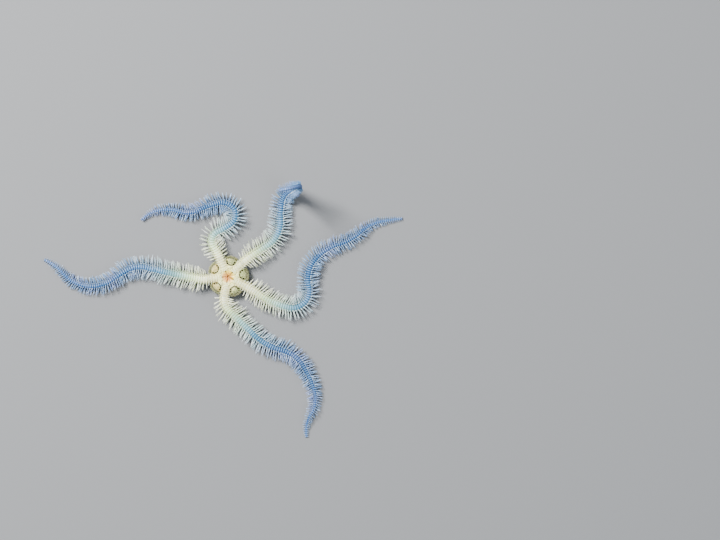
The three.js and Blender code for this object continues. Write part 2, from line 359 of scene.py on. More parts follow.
# one segment of an arm along +X, at its largest: plates above and below, pores beside the upper one
def makeSegment():
    segment = {
        "sides": 24, "cuts": (0.1, 0.5, 0.9), "groove": 0.9, "ridge": 1.08, "ridgeReach": 52,
        "plateReach": 31, "moat": 0.05, "plateRaise": 0.15, "lowerRim": 0.1, "lowerRaise": 0.07,
        "keel": 0.16, "keelShift": 0.15, "poreAt": 52.5, "poreReach": 5, "poreRim": 0.06, "poreDepth": 0.22,
    }
    pitch = joints["pitch"]
    first, middle, last = [share * pitch for share in segment["cuts"]]
    piece = addRod(segment["sides"], (first, middle, last), pitch, animal["armWidth"] / 2, "NOTHING")

    def angleOf(point):
        return math.degrees(math.atan2(point.z, abs(point.y)))

    def pickBetween(low, high, end=last):
        pick(piece, lambda p: first < p.x < end and low < angleOf(p) < high)

    # the joints draw in, and the side plates swell where the spines stand
    shapeRings(piece, [(0, segment["groove"]), (pitch, segment["groove"])])
    pick(piece, lambda p: abs(p.x - middle) < 0.001 and abs(angleOf(p)) < segment["ridgeReach"], "VERT")
    ridge = segment["ridge"]
    bpy.ops.transform.resize(value=(1, ridge, ridge), center_override=(middle, 0, 0))
    # pores of the tube feet
    pickBetween(segment["poreAt"] - segment["poreReach"], segment["poreAt"] + segment["poreReach"], middle)
    bpy.ops.mesh.inset(thickness=segment["poreRim"], depth=-segment["poreDepth"], use_individual=True)
    # the upper plate stands in a narrow moat, and the lower one has a keel
    pickBetween(90 - segment["plateReach"], 91)
    bpy.ops.mesh.inset(thickness=segment["moat"], depth=-segment["moat"])
    bpy.ops.mesh.inset(thickness=segment["moat"], depth=segment["plateRaise"])
    pickBetween(-91, segment["plateReach"] - 90)
    bpy.ops.mesh.inset(thickness=segment["lowerRim"], depth=segment["lowerRaise"])
    pick(piece, lambda p: abs(p.y) < 0.01 and p.z < 0 and abs(p.x - middle) < 0.01, "VERT")
    bpy.ops.transform.translate(value=(segment["keelShift"], 0, -segment["keel"]))
    leaveEdit()
    return piece


# half the skin's width: the arm's own, rounded off at the very tip
def skinHalf(arm, s):
    past = np.clip((s - arm["length"] + animal["tipRound"]) / animal["tipRound"], 0, 0.985)
    return widthAt(arm, s) / 2 * np.sqrt(1 - past ** 2)


# a row of segments, closed at both ends and laid along its arm
def makeArmSkin(segment, arm):
    count = len(arm["joints"]) - 1
    piece = turnedCopy(segment)
    addModifier(piece, "ARRAY", count=count, use_relative_offset=False, use_constant_offset=True,
                constant_offset_displace=(joints["pitch"], 0, 0), use_merge_vertices=True,
                merge_threshold=0.001)
    edit(piece)
    closeHoles()
    leaveEdit()
    co = points(piece)
    s = np.interp(co[:, 0] / joints["pitch"], np.arange(count + 1), arm["joints"])
    at, forward, side, up = frameAt(arm, s)
    size = (skinHalf(arm, s) / (animal["armWidth"] / 2))[:, None]
    co = at + side * size * co[:, 1:2] + up * size * animal["flatness"] * co[:, 2:3]
    co[:, 2] = np.maximum(co[:, 2], 0)
    setPoints(piece, co)
    return piece


# the margin's share of the full radius: drawn in where the arms leave
def marginShare(angle):
    fromArm = len(arms) * (angle - math.radians(animal["firstBearing"]))
    return 1 - animal["discNotch"] / 2 * (1 + np.cos(fromArm)) / animal["discRadius"]


# distance out along the nearest lobe's bearing, and across it
def lobePlace(co):
    angle, r = np.arctan2(co[:, 1], co[:, 0]), np.hypot(co[:, 0], co[:, 1])
    middle, turn = math.radians(lobeBearings[0]), math.radians(animal["armStep"])
    off = angle - middle - turn * np.round((angle - middle) / turn)
    return r * np.cos(off), r * np.sin(off)


disc = {
    "steps": 90, "lobeAt": 6.95, "lobeLong": 1.4, "lobeWide": 1.55, "lobeRise": 0.5, "swell": (0.6, 0.3),
    "slitAt": 6.95, "slitRadius": 1.8, "slitWidth": 0.42, "slitDepth": 1.1, "slitSteps": 26,
    "slitTurn": 180, "slitFront": 0.7, "slitSides": 1.5, "mouthSides": 60, "mouthSpare": 0.05,
}


# the disc's body: a profile drawn point by point and spun, smoothed, then pressed into five lobes
def makeDiscBody():
    radius, level = animal["discRadius"], animal["oralLevel"]
    profile = [
        (0, 0), (animal["restRadius"], 0), (0.9 * radius, animal["aboralRise"]), (radius, 0.53 * level),
        (0.97 * radius, 0.76 * level), (0.86 * radius, 0.93 * level), (0.7 * radius, level), (0, level),
    ]
    bpy.ops.mesh.primitive_plane_add(size=1)
    piece = bpy.context.object
    edit(piece, "VERT")
    pickAll()
    bpy.ops.mesh.merge(type="CENTER")
    for (r0, z0), (r1, z1) in zip(profile, profile[1:]):
        bpy.ops.mesh.extrude_region_move(TRANSFORM_OT_translate={"value": (r1 - r0, 0, z1 - z0)})
    pickAll()
    bpy.ops.mesh.spin(steps=disc["steps"], angle=2 * math.pi, center=(0, 0, 0), axis=(0, 0, 1))
    pickAll()
    bpy.ops.mesh.remove_doubles(threshold=0.001)
    faceOutwards()
    cutAt([(0, 0, 0)], (1, 0, 0))  # one seam across the middle
    leaveEdit()
    addModifier(piece, "SUBSURF", levels=2, render_levels=2)
    co = points(piece)
    co[:, :2] *= marginShare(np.arctan2(co[:, 1], co[:, 0]))[:, None]
    out, across = lobePlace(co)
    start, reach = disc["swell"]  # shares of the disc's height
    oral = smoothStep((co[:, 2] - start * level) / (reach * level))
    swell = np.exp(-((out - disc["lobeAt"]) / disc["lobeLong"]) ** 2 - (across / disc["lobeWide"]) ** 2)
    co[:, 2] += disc["lobeRise"] * swell * oral
    setPoints(piece, co)
    return piece


# a horseshoe-shaped cutter for the dark slits round the mouth side of a lobe
def makeSlitCutter():
    bpy.ops.mesh.primitive_circle_add(vertices=8, radius=disc["slitWidth"], rotation=(math.radians(90), 0, 0))
    piece = bpy.context.object
    applyPlace(piece)
    edit(piece, "VERT")
    pickAll()
    bpy.ops.transform.resize(value=(1, 1, disc["slitDepth"] / disc["slitWidth"]))
    bpy.ops.transform.translate(value=(-disc["slitRadius"], 0, 0))
    turn = math.radians(disc["slitTurn"])
    bpy.ops.mesh.spin(steps=disc["slitSteps"], angle=turn, center=(0, 0, 0), axis=(0, 0, 1))
    closeHoles()
    leaveEdit()
    piece.data.transform(Matrix.Rotation(turn / 2, 4, "Z"))
    # narrow and shallow in front, wide and deep at both sides
    co = points(piece)
    r, angle = np.hypot(co[:, 0], co[:, 1]), np.arctan2(co[:, 1], co[:, 0])
    size = disc["slitFront"] + (1 - disc["slitFront"]) * np.abs(np.sin(angle)) ** disc["slitSides"]
    r = disc["slitRadius"] + (r - disc["slitRadius"]) * size
    setPoints(piece, np.stack([r * np.cos(angle), r * np.sin(angle), co[:, 2] * size], axis=1))
    piece.data.transform(Matrix.Translation((disc["slitAt"], 0, animal["oralLevel"])))
    return piece


# a low plate of a few corners, stepped in towards its top
def makePlate(corners, size, at, turn=0):
    plate = {"thickness": 0.7, "steps": [(0.14, 0.2), (0.12, 0.05)]}  # shares of its size and thickness
    thickness = plate["thickness"]
    bpy.ops.mesh.primitive_cylinder_add(vertices=corners, radius=1, depth=thickness)
    piece = bpy.context.object
    piece.scale = (size[0] / 2, size[1] / 2, 1)
    applyPlace(piece)
    edit(piece)
    pick(piece, lambda p: p.z > thickness * 0.45)
    for inwards, upwards in plate["steps"]:
        bpy.ops.mesh.inset(thickness=min(size) * inwards, depth=thickness * upwards)
    leaveEdit()
    piece.data.transform(Matrix.Translation(at) @ Matrix.Rotation(math.radians(turn), 4, "Z"))
    return piece


# the shields at the root of each lobe: one in the middle and one on each side
def makeDiscPlates():
    shields = {
        "middleAt": 4.35, "middleSize": (1.9, 2.3), "sideAt": (3.45, 1.15), "sideSize": (1.5, 0.8),
        "sideTurn": 58, "sideRaised": 0.02,
    }
    level, (out, across) = animal["oralLevel"], shields["sideAt"]
    made = [makePlate(7, shields["middleSize"], (shields["middleAt"], 0, level))]
    for hand in (-1, 1):
        at = (out, hand * across, level + shields["sideRaised"])
        made.append(makePlate(6, shields["sideSize"], at, hand * shields["sideTurn"]))
    return repeatAt(lobeBearings, join(made, "shields"), "discPlates")


# a pair of bare three-cornered plates on the lower face, beside each arm's root
def makeRadialShields():
    radial = {
        "start": 5.3, "length": 3, "width": 2.2, "thickness": 0.8, "raised": 0.2, "bevel": 0.1,
        "corners": [(0, 0.25), (1, 0.1), (1, 0.85), (0.8, 1)],  # shares of its length and width
    }
    slope = math.atan2(animal["aboralRise"], 0.9 * animal["discRadius"] - animal["restRadius"])
    height = (radial["start"] - animal["restRadius"]) * math.tan(slope) - radial["raised"]
    lift = Matrix.Translation((radial["start"], 0, height + radial["thickness"]))
    made = []
    for hand in (-1, 1):
        bpy.ops.mesh.primitive_circle_add(vertices=4, radius=1, fill_type="NGON")
        piece = bpy.context.object
        corners = [(x * radial["length"], hand * y * radial["width"], 0) for x, y in radial["corners"]]
        setPoints(piece, np.array(corners))
        edit(piece)
        faceOutwards()
        bpy.ops.mesh.extrude_region_move(TRANSFORM_OT_translate={"value": (0, 0, -radial["thickness"])})
        faceOutwards()
        bevelAll(radial["bevel"])
        leaveEdit()
        piece.data.transform(lift @ Matrix.Rotation(-slope, 4, "Y"))
        made.append(piece)
    return repeatAt(armBearings, join(made, "radialPair"), "radialShields")


def combine(base, other, operation):
    addModifier(base, "BOOLEAN", operation=operation, object=other, solver="MANIFOLD")
    discard(other)


# the whole skin in one mesh: disc, arms and plates joined, then slits and mouth cut into it
def makeSkin():
    segment = makeSegment()
    skin = makeDiscBody()
    print("disc body made")
    for arm in arms:
        combine(skin, makeArmSkin(segment, arm), "UNION")
    discard(segment)
    print("arms joined to the disc")
    combine(skin, makeDiscPlates(), "UNION")
    combine(skin, makeRadialShields(), "UNION")
    combine(skin, repeatAt(lobeBearings, makeSlitCutter(), "slits"), "DIFFERENCE")
    bpy.ops.mesh.primitive_cylinder_add(
        vertices=disc["mouthSides"], radius=animal["mouthRadius"] - disc["mouthSpare"],
        depth=2 * animal["mouthDepth"], location=(0, 0, animal["oralLevel"]))
    mouth = bpy.context.object
    applyPlace(mouth)
    combine(skin, mouth, "DIFFERENCE")
    # the slivers that the cuts leave
    edit(skin, "VERT")
    pickAll()
    bpy.ops.mesh.remove_doubles(threshold=0.001)
    bpy.ops.mesh.dissolve_degenerate(threshold=0.001)
    leaveEdit()
    return skin


skin = makeSkin()
print("skin made:", len(skin.data.polygons), "faces")


# where each point of the skin lies, for its colours
def markSkin(piece):
    mark = {
        "discEdge": 0.28, "discFade": 0.2, "discReach": 0.6, "lobeSpare": 0.2, "lobeFade": 0.6,
        "slitSpare": 0.02, "slitFloor": 1.4, "slitLip": 0.06, "slitEnd": 0.05, "mouthFloor": 3,
        "mouthLip": 0.05, "armReach": 1.25, "leastHalf": 0.2,
    }
    lines = [(arm, i) for arm in arms for i in range(0, len(arm["s"]), 2)]
    tree = kdtree.KDTree(len(lines))
    for number, (arm, i) in enumerate(lines):
        tree.insert(arm["at"][i], number)
    tree.balance()
    co = points(piece)
    along, upward, phase, onArm = np.zeros((4, len(co)))
    for number, p in enumerate(co):
        arm, i = lines[tree.find(p)[1]]
        offset = p - arm["at"][i]
        s = arm["s"][i] + offset @ arm["forward"][i]
        half = max(mark["leastHalf"], float(widthAt(arm, s)) / 2)
        high, left = offset @ arm["up"][i] / (half * animal["flatness"]), offset @ arm["side"][i] / half
        along[number] = s / arm["length"]
        upward[number] = high
        onArm[number] = mark["armReach"] - math.hypot(high, left)
        phase[number] = np.interp(s, arm["joints"], np.arange(len(arm["joints"]))) % 1
    out, across = lobePlace(co)
    r, z = np.hypot(co[:, 0], co[:, 1]), co[:, 2]
    level = animal["oralLevel"]
    isDisc = smoothStep((mark["discEdge"] - onArm) / mark["discFade"])
    isDisc = isDisc * (r < animal["discRadius"] + mark["discReach"])
    # the walls of the slits, which are painted near-black as painted shade inside the cuts
    fromSlit = np.abs(np.hypot(out - disc["slitAt"], across) - disc["slitRadius"])
    slit = (fromSlit < disc["slitWidth"] + mark["slitSpare"]) * (out < disc["slitAt"] + mark["slitEnd"])
    slit = slit * (z > level - mark["slitFloor"]) * (z < level - mark["slitLip"])
    inMouth = (r < animal["mouthRadius"]) * (z > mark["mouthFloor"]) * (z < level - mark["mouthLip"])
    lobeEdge = disc["lobeAt"] - disc["slitRadius"] - mark["lobeSpare"]
    marks = {
        "along": along, "upward": upward, "phase": 1 - np.abs(2 * phase - 1), "disc": isDisc,
        "lobe": smoothStep((out - lobeEdge) / mark["lobeFade"]), "dark": slit, "mouth": inMouth,
    }
    for name, values in marks.items():
        addValues(piece, name, values)


markSkin(skin)
print("skin marked")


# nodes of a material, one call for each
class Paint:
    def __init__(self, name):
        self.material = bpy.data.materials.new(name)
        self.material.use_nodes = True
        self.tree = self.material.node_tree
        self.shader = self.tree.nodes["Principled BSDF"]
        self.place = self.tree.nodes.new("ShaderNodeTexCoord").outputs["Object"]

    def add(self, kind, inputs=(), **settings):
        node = self.tree.nodes.new(kind)
        for key, value in settings.items():
            setattr(node, key, value)
        for key, value in dict(inputs).items():
            if isinstance(value, bpy.types.NodeSocket):
                self.tree.links.new(value, node.inputs[key])
            else:
                node.inputs[key].default_value = value
        return node

    def value(self, name):
        return self.add("ShaderNodeAttribute", attribute_name=name).outputs["Fac"]

    def ramp(self, factor, stops):
        node = self.add("ShaderNodeValToRGB", {"Fac": factor})
        band = node.color_ramp
        while len(band.elements) < len(stops):
            band.elements.new(0.5)
        for element, (position, colour) in zip(band.elements, stops):
            element.position = position
            element.color = (*colour, 1)
        return node.outputs["Color"]

    def between(self, value, low, high, outLow=0, outHigh=1):
        inputs = {"Value": value, "From Min": low, "From Max": high, "To Min": outLow, "To Max": outHigh}
        return self.add("ShaderNodeMapRange", inputs).outputs["Result"]

    def noise(self, scale, detail=3, roughness=0.55):
        inputs = {"Vector": self.place, "Scale": scale, "Detail": detail, "Roughness": roughness}
        return self.add("ShaderNodeTexNoise", inputs).outputs["Fac"]

    def cells(self, scale, smooth=0.4):
        inputs = {"Vector": self.place, "Scale": scale, "Smoothness": smooth}
        return self.add("ShaderNodeTexVoronoi", inputs, feature="SMOOTH_F1").outputs["Distance"]

    def mix(self, factor, first, second, blend="MIX"):
        node = self.add("ShaderNodeMix", data_type="RGBA", blend_type=blend)
        for socket, value in zip((node.inputs[0], node.inputs[6], node.inputs[7]), (factor, first, second)):
            if isinstance(value, bpy.types.NodeSocket):
                self.tree.links.new(value, socket)
            elif isinstance(value, tuple):
                socket.default_value = (*value, 1)
            else:
                socket.default_value = value
        return node.outputs[2]

    def math(self, operation, first, second=0.5):
        return self.add("ShaderNodeMath", {0: first, 1: second}, operation=operation).outputs[0]

    def bump(self, height, distance, strength=1.0, under=None):
        inputs = {"Height": height, "Distance": distance, "Strength": strength}
        if under:
            inputs["Normal"] = under
        return self.add("ShaderNodeBump", inputs).outputs["Normal"]

    # one colour gives way to another as a value goes from low to high
    def blend(self, first, second, value, low, high, most=1):
        return self.mix(self.between(value, low, high, 0, most), first, second)

    # a colour is darkened by a tone where a value is low
    def shade(self, colour, value, low, high, tone):
        return self.mix(1.0, colour, self.ramp(value, [(low, tone), (high, (1, 1, 1))]), "MULTIPLY")

    # the three coordinates, and the distance from the upright axis
    def apart(self):
        x, y, z = self.add("ShaderNodeSeparateXYZ", {"Vector": self.place}).outputs
        flat = self.add("ShaderNodeCombineXYZ", {"X": x, "Y": y}).outputs[0]
        return x, y, z, self.add("ShaderNodeVectorMath", {0: flat}, operation="LENGTH").outputs["Value"]

    # violet patches on the outer part of the arms, at the same places on skin and spines
    def addPatches(self, colour, along, tone):
        patches = {"scale": 70, "edge": (0.5, 0.62), "most": 0.4, "comeIn": (0.3, 0.5)}
        patch = self.between(self.noise(patches["scale"], 1), *patches["edge"], 0, patches["most"])
        outer = self.between(along, *patches["comeIn"])
        return self.mix(self.math("MULTIPLY", patch, outer), colour, tone)

    def finish(self, colour, roughness, normal, glow=0.0, glowSize=0.0006):
        for key, value in (("Base Color", colour), ("Roughness", roughness), ("Normal", normal)):
            self.tree.links.new(value, self.shader.inputs[key])
        self.shader.inputs["Subsurface Weight"].default_value = glow
        self.shader.inputs["Subsurface Radius"].default_value = (1.0, 0.9, 0.75)
        self.shader.inputs["Subsurface Scale"].default_value = glowSize
        self.shader.inputs["IOR"].default_value = 1.42
        return self.material


# wet skin over small plates: cream at the disc, then pale green, then steel blue
def skinPaint():
    tones = {
        "flank": [(0.05, (0.78, 0.78, 0.42)), (0.16, (0.5, 0.57, 0.23)), (0.24, (0.3, 0.38, 0.22)),
                  (0.34, (0.14, 0.21, 0.23)), (0.46, (0.08, 0.14, 0.21)), (0.75, (0.06, 0.11, 0.2)),
                  (0.9, (0.05, 0.11, 0.25)), (1, (0.08, 0.16, 0.36))],
        "oral": [(0, (0.96, 0.92, 0.44)), (0.12, (0.94, 0.93, 0.6)), (0.18, (0.66, 0.8, 0.44)),
                 (0.25, (0.28, 0.48, 0.42)), (0.34, (0.08, 0.24, 0.38)), (0.48, (0.03, 0.11, 0.26)),
                 (0.7, (0.025, 0.09, 0.23)), (0.84, (0.03, 0.1, 0.27)), (1, (0.06, 0.15, 0.36))],
        "under": [(0.05, (0.52, 0.46, 0.3)), (0.25, (0.36, 0.35, 0.27)), (0.42, (0.13, 0.17, 0.22)),
                  (0.62, (0.05, 0.1, 0.24)), (0.84, (0.05, 0.12, 0.32)), (1, (0.15, 0.24, 0.48))],
        "dot": (0.38, 0.64, 0.95), "violet": (0.09, 0.11, 0.29), "cream": (0.96, 0.92, 0.42),
        "lobeLeft": (0.7, 0.55, 0.17), "lobeRight": (0.34, 0.39, 0.13), "lobePale": (0.66, 0.64, 0.28),
        "margin": (0.11, 0.12, 0.05), "back": (0.46, 0.4, 0.25), "backSpot": (0.26, 0.23, 0.17),
        "slit": (0.04, 0.035, 0.014), "mouth": (0.76, 0.43, 0.14), "shade": (0.82, 0.84, 0.84),
    }
    # sizes of the patterns, and where the disc's tones meet, in metres
    pattern = {"grain": 2600, "blotch": 420, "scales": 1500}
    meet = {"left": (-5 * mm, 2 * mm), "rim": (7.7 * mm, 9 * mm), "side": (4.5 * mm, 3.7 * mm),
            "back": (2.2 * mm, 1.2 * mm)}
    paint = Paint("wetSkin")
    along, upward, phase = paint.value("along"), paint.value("upward"), paint.value("phase")
    x, y, z, r = paint.apart()
    blotch, scales = paint.noise(pattern["blotch"]), paint.cells(pattern["scales"], 0.15)
    flank, oral, under = [paint.ramp(along, tones[key]) for key in ("flank", "oral", "under")]
    colour = paint.blend(flank, oral, upward, 0.35, 0.8)
    colour = paint.blend(colour, under, upward, -0.3, -0.8)
    colour = paint.addPatches(colour, along, tones["violet"])
    # each joint is a shade deeper than the plates beside it
    joint = paint.between(phase, 0, 0.4, paint.between(along, 0.12, 0.4, 0.85, 0.5), 1)
    colour = paint.shade(colour, joint, 0, 1, (0, 0, 0))
    # painted highlight: a pale glint in the middle of each upper plate
    onTop = paint.between(paint.math("ABSOLUTE", upward), 0.95, 1.06)
    highlightMask = paint.math("MULTIPLY", paint.between(phase, 0.65, 0.95), onTop)
    colour = paint.mix(paint.math("MULTIPLY", highlightMask, 0.75), colour, tones["dot"])
    # cream round the mouth; the lobes are tan on one side of the animal and olive on the other
    lobe = paint.blend(tones["lobeLeft"], tones["lobeRight"], x, *meet["left"])
    lobe = paint.blend(lobe, tones["lobePale"], blotch, 0.46, 0.66)
    lobe = paint.mix(paint.value("lobe"), tones["cream"], lobe)
    # painted shade: the lobes darken to a deep olive towards the disc's rim and down its sides, where the
    # disc curves away from the light
    lobe = paint.blend(lobe, tones["margin"], r, *meet["rim"])
    lobe = paint.blend(lobe, tones["margin"], z, *meet["side"])
    back = paint.blend(tones["back"], tones["backSpot"], scales, 0.3, 0.75)
    lobe = paint.blend(lobe, back, z, *meet["back"])
    # the lobes' own tones on the disc; the slits painted near-black, a painted shade in the cuts; the mouth
    # its own orange
    for key, tone in (("disc", lobe), ("dark", tones["slit"]), ("mouth", tones["mouth"])):
        colour = paint.mix(paint.value(key), colour, tone)
    colour = paint.shade(colour, blotch, 0.3, 0.7, tones["shade"])
    roughness = paint.between(paint.noise(pattern["grain"]), 0.3, 0.7, 0.26, 0.46)
    scales = paint.math("MULTIPLY", scales, paint.value("disc"))
    normal = paint.bump(paint.cells(pattern["grain"]), 0.00013, 0.7, paint.bump(scales, -0.0004, 0.9))
    return paint.finish(colour, roughness, normal, 0.15)


# to metres, smooth shaded, painted, and riding on the animal's one body
def finishPiece(piece, name, paint, replaced=(), smoothAngle=None):
    piece.name = name
    piece.data.name = name
    piece.data.transform(Matrix.Scale(mm, 4))
    piece.data.materials.clear()
    piece.data.materials.append(paint)
    choose(piece)
    if smoothAngle:
        bpy.ops.object.shade_smooth_by_angle(angle=math.radians(smoothAngle))
    else:
        bpy.ops.object.shade_smooth()
    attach(piece, "root")
    if replaced:
        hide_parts(*replaced)


# one thorny arm spine along +X, of length 1 and width 1, with teeth down both edges
def makeSpine():
    spine = {
        "sides": 6, "teeth": (0.22, 0.42, 0.61, 0.79), "tooth": 1.16, "behind": 0.76, "pitch": 0.035,
        "tip": 0.36,
    }

    def plain(x):
        return 1 + (spine["tip"] - 1) * x

    # each tooth widens towards the tip and ends in a step
    rings = []
    for x in spine["teeth"]:
        step = x + spine["pitch"]
        rings.append((x, plain(x) * spine["tooth"], plain(x)))
        rings.append((step, plain(x) * spine["behind"], plain(step)))
    piece = addRod(spine["sides"], [ring[0] for ring in rings])
    shapeRings(piece, [*rings, (1, spine["tip"])])
    leaveEdit()
    return piece


# copies of a template in one mesh, from rows of roots, three directions with their sizes, bows and
# patches of the map; the values named are kept as attributes
def scatter(template, name, rows, values):
    co = points(template)
    corner = np.array([i for face in template.data.polygons for i in face.vertices])
    sizes = np.array([len(face.vertices) for face in template.data.polygons])
    many, size = len(rows["root"]), len(co)
    x, y, z = co.T[:, None, :, None]
    root, length, width, depth, bow = (
        rows[key][:, None] for key in ("root", "length", "width", "depth", "bow")
    )
    placed = root + x * length + y * width + z * depth + x ** 2 * bow
    mesh = bpy.data.meshes.new(name)
    mesh.vertices.add(many * size)
    mesh.vertices.foreach_set("co", placed.astype(np.float32).ravel())
    mesh.loops.add(many * len(corner))
    shifted = corner[None] + size * np.arange(many)[:, None]
    mesh.loops.foreach_set("vertex_index", shifted.astype(np.int32).ravel())
    mesh.polygons.add(many * len(sizes))
    starts = np.concatenate([[0], np.cumsum(np.tile(sizes, many))[:-1]])
    mesh.polygons.foreach_set("loop_start", starts.astype(np.int32))
    mesh.update(calc_edges=True)
    # each copy is a small patch of the map, at its root's place
    turn = np.arctan2(co[corner, 2], co[corner, 1]) / (2 * np.pi) + 0.5
    face = np.repeat(np.arange(len(sizes)), sizes)
    widest = np.array([turn[face == f].max() for f in range(len(sizes))])[face]
    turn = np.where(widest - turn > 0.5, turn + 1, turn)
    local = np.stack([turn / 1.2, np.clip(co[corner, 0], 0, 1)], axis=1) * 0.003
    layer = mesh.uv_layers.new(name="OFBake")
    layer.data.foreach_set("uv", (rows["patch"][:, None] + local[None]).astype(np.float32).ravel())
    piece = bpy.data.objects.new(name, mesh)
    bpy.context.scene.collection.objects.link(piece)
    addValues(piece, "reach", np.tile(np.clip(co[:, 0], 0, 1), many))
    for key in values:
        addValues(piece, key, np.repeat(rows[key], size))
    return piece


# pegs or spinelets, from rows that give one direction, a length and a width
def scatterUpright(template, name, rows, values, bow=0.0):
    along = unit(rows["direction"])
    wide = unit(np.cross(along, np.where(np.abs(along[:, 2:3]) > 0.9, [1.0, 0, 0], [0, 0, 1.0])))
    length, width = rows["length"][:, None], rows["width"][:, None]
    laid = {
        **rows, "length": along * length, "width": wide * width, "depth": np.cross(along, wide) * width,
        "bow": wide * bow * length,
    }
    return scatter(template, name, laid, values)


def addRow(rows, **values):
    for key, value in values.items():
        rows.setdefault(key, []).append(value)


def joinRows(rows):
    return {key: np.concatenate(value) for key, value in rows.items()}


# roots and directions on one side of an arm, at an angle up from its side and a depth in its skin
def standOnArm(arm, s, hand, place, depth, elevation, lean):
    at, forward, side, up = frameAt(arm, s)
    half, angle, lift = skinHalf(arm, s)[:, None] * depth, math.radians(place), np.radians(elevation)[:, None]
    root = at + side * hand * half * math.cos(angle) + up * half * animal["flatness"] * math.sin(angle)
    direction = unit(side * hand * np.cos(lift) + up * np.sin(lift) + forward * lean[:, None])
    return root, direction, forward, up


# size at a share of an arm, from 1 at its root
def taperTo(tip, u):
    return 1 + (tip - 1) * u ** 1.5


spines = {
    "seed": 5, "length": 3.9, "tipLength": 0.5, "taper": 3.6, "least": 0.4, "first": 6.6, "last": 0.4,
    "shoulder": 7, "firstShare": 0.35,  # they grow to their full length over the shoulder
    "covered": 2.2, "coveredBelow": 25,  # the disc covers the first of the lower rows
    "at": 0.12, "depth": 0.94, "lean": 0.26, "bendRoom": 0.95, "floorRoom": 0.25,
    "wide": 0.42, "thick": 0.3, "tipSize": 0.66, "fullSizeFrom": 2.2, "leastSize": 0.4, "bow": 0.03,
    "vary": {"at": 0.1, "ownLean": 0.11, "lean": 0.07, "ownLength": 0.08, "length": 0.08, "elevation": 4,
             "roll": 0.5, "sideBow": 0.03, "bow": 0.025},
    # spines deepen at random up to deep, and further as painted shade on each lower row and on the raised end
    "upperRows": 2, "upperTint": 0.55, "deep": 0.6, "lowerRowShade": 0.07, "raisedEndShade": 0.4,
    # place round the section, elevation and share of the full length, from beside the upper plate down
    "fan": [(46, 66, 0.36), (37, 52, 0.52), (27, 39, 0.70), (16, 27, 0.87), (5, 16, 0.98), (-7, 6, 1.0),
            (-20, -4, 0.95), (-32, -13, 0.82)],
}


# how far an arm's spines have dropped off, from 0 to 1, and the share of their length then left
def dropAt(arm, s):
    start, reach, share = arm.get("spineDrop", (arm["length"], 1, 1))
    return smoothStep((s - start) / reach), share


def spineLengthAt(arm, s, hand):
    u = s / arm["length"]
    full = spines["length"] * (1 - u ** spines["taper"]) + spines["tipLength"] * u ** 2
    shoulder = smoothStep((s - spines["first"]) / spines["shoulder"])
    full *= spines["firstShare"] + (1 - spines["firstShare"]) * shoulder
    drop, share = dropAt(arm, s)
    full *= 1 - (1 - share) * drop
    bend = bendRadiusAt(arm, s) * hand
    room = np.where(bend > 0, spines["bendRoom"] * (bend - widthAt(arm, s) / 2), np.inf)
    return np.maximum(spines["least"], np.minimum(full, room))


# the spines of one arm: eight on each side of every segment
def makeSpines(template, arm, seed):
    draw, vary, rows = np.random.default_rng(seed), spines["vary"], {}
    middles = (arm["joints"][:-1] + arm["joints"][1:]) / 2
    keep = (middles > spines["first"]) & (middles < arm["length"] - spines["last"])
    middles, pitch = middles[keep], np.diff(arm["joints"])[keep]
    for hand in (-1, 1):
        ownLean = draw.normal(0, vary["ownLean"], len(middles))
        ownLength = draw.normal(1, vary["ownLength"], len(middles))
        for row, (place, elevation, share) in enumerate(spines["fan"]):
            covered = spines["covered"] if place < spines["coveredBelow"] else 0
            clear = middles > spines["first"] + covered
            count = np.count_nonzero(clear)
            along = spines["at"] + draw.uniform(-vary["at"], vary["at"], count)
            s = middles[clear] + pitch[clear] * along
            u = s / arm["length"]
            lift = elevation + draw.normal(0, vary["elevation"], count)
            lean = ownLean[clear] + draw.normal(spines["lean"], vary["lean"], count)
            root, direction, forward, up = standOnArm(arm, s, hand, place, spines["depth"], lift, lean)
            length = spineLengthAt(arm, s, hand) * share * ownLength[clear]
            length *= draw.normal(1, vary["length"], count)
            # none reaches below the floor
            lowest = (spines["floorRoom"] - root[:, 2]) / length
            isLow = (direction[:, 2] < lowest) & (arm.get("riseStart", arm["length"]) > s)
            direction[isLow, 2] = lowest[isLow]
            direction = unit(direction)
            roll = draw.normal(0, vary["roll"], count)[:, None]
            wide = unit(np.cross(up, direction) * hand)
            thick = np.cross(direction, wide)
            wide = wide * np.cos(roll) + thick * np.sin(roll)
            size = np.sqrt(np.clip(length / spines["fullSizeFrom"], spines["leastSize"], 1))
            size = (size * taperTo(spines["tipSize"], u))[:, None]
            wide, thick = wide * size, np.cross(direction, wide) * size
            length = length[:, None]
            bow = forward * draw.normal(0, vary["sideBow"], count)[:, None]
            bow += up * draw.normal(spines["bow"], vary["bow"], count)[:, None]
            bow[isLow] = 0
            # painted shade on the raised end, where the spines stand in each other's way: their pale glints
            # and rosy tips are taken out and all deepen to one darker blue
            endShade = dropAt(arm, s)[0]
            # the upper rows draw lower tints, so more of them are painted pale as glints
            tint = draw.uniform(0, 1, count) * (spines["upperTint"] if row < spines["upperRows"] else 1)
            # deeper tone: a random spread, plus painted shade on the lower rows and the raised end
            deep = draw.uniform(0, spines["deep"], count) + spines["lowerRowShade"] * row + spines["raisedEndShade"] * endShade
            turn = (place if hand > 0 else 180 - place) / 360
            addRow(rows, root=root, length=direction * length, width=wide * spines["wide"],
                   depth=thick * spines["thick"], bow=bow * length, tint=tint + (0.5 - tint) * endShade,
                   deep=deep, along=np.minimum(u, arm.get("tonesUntil", 1)),
                   patch=np.stack([u * 0.99, np.full(count, turn % 1 * 0.98 + 0.005)], axis=1))
    return scatter(template, arm["name"] + "Spines", joinRows(rows), ("along", "tint", "deep"))
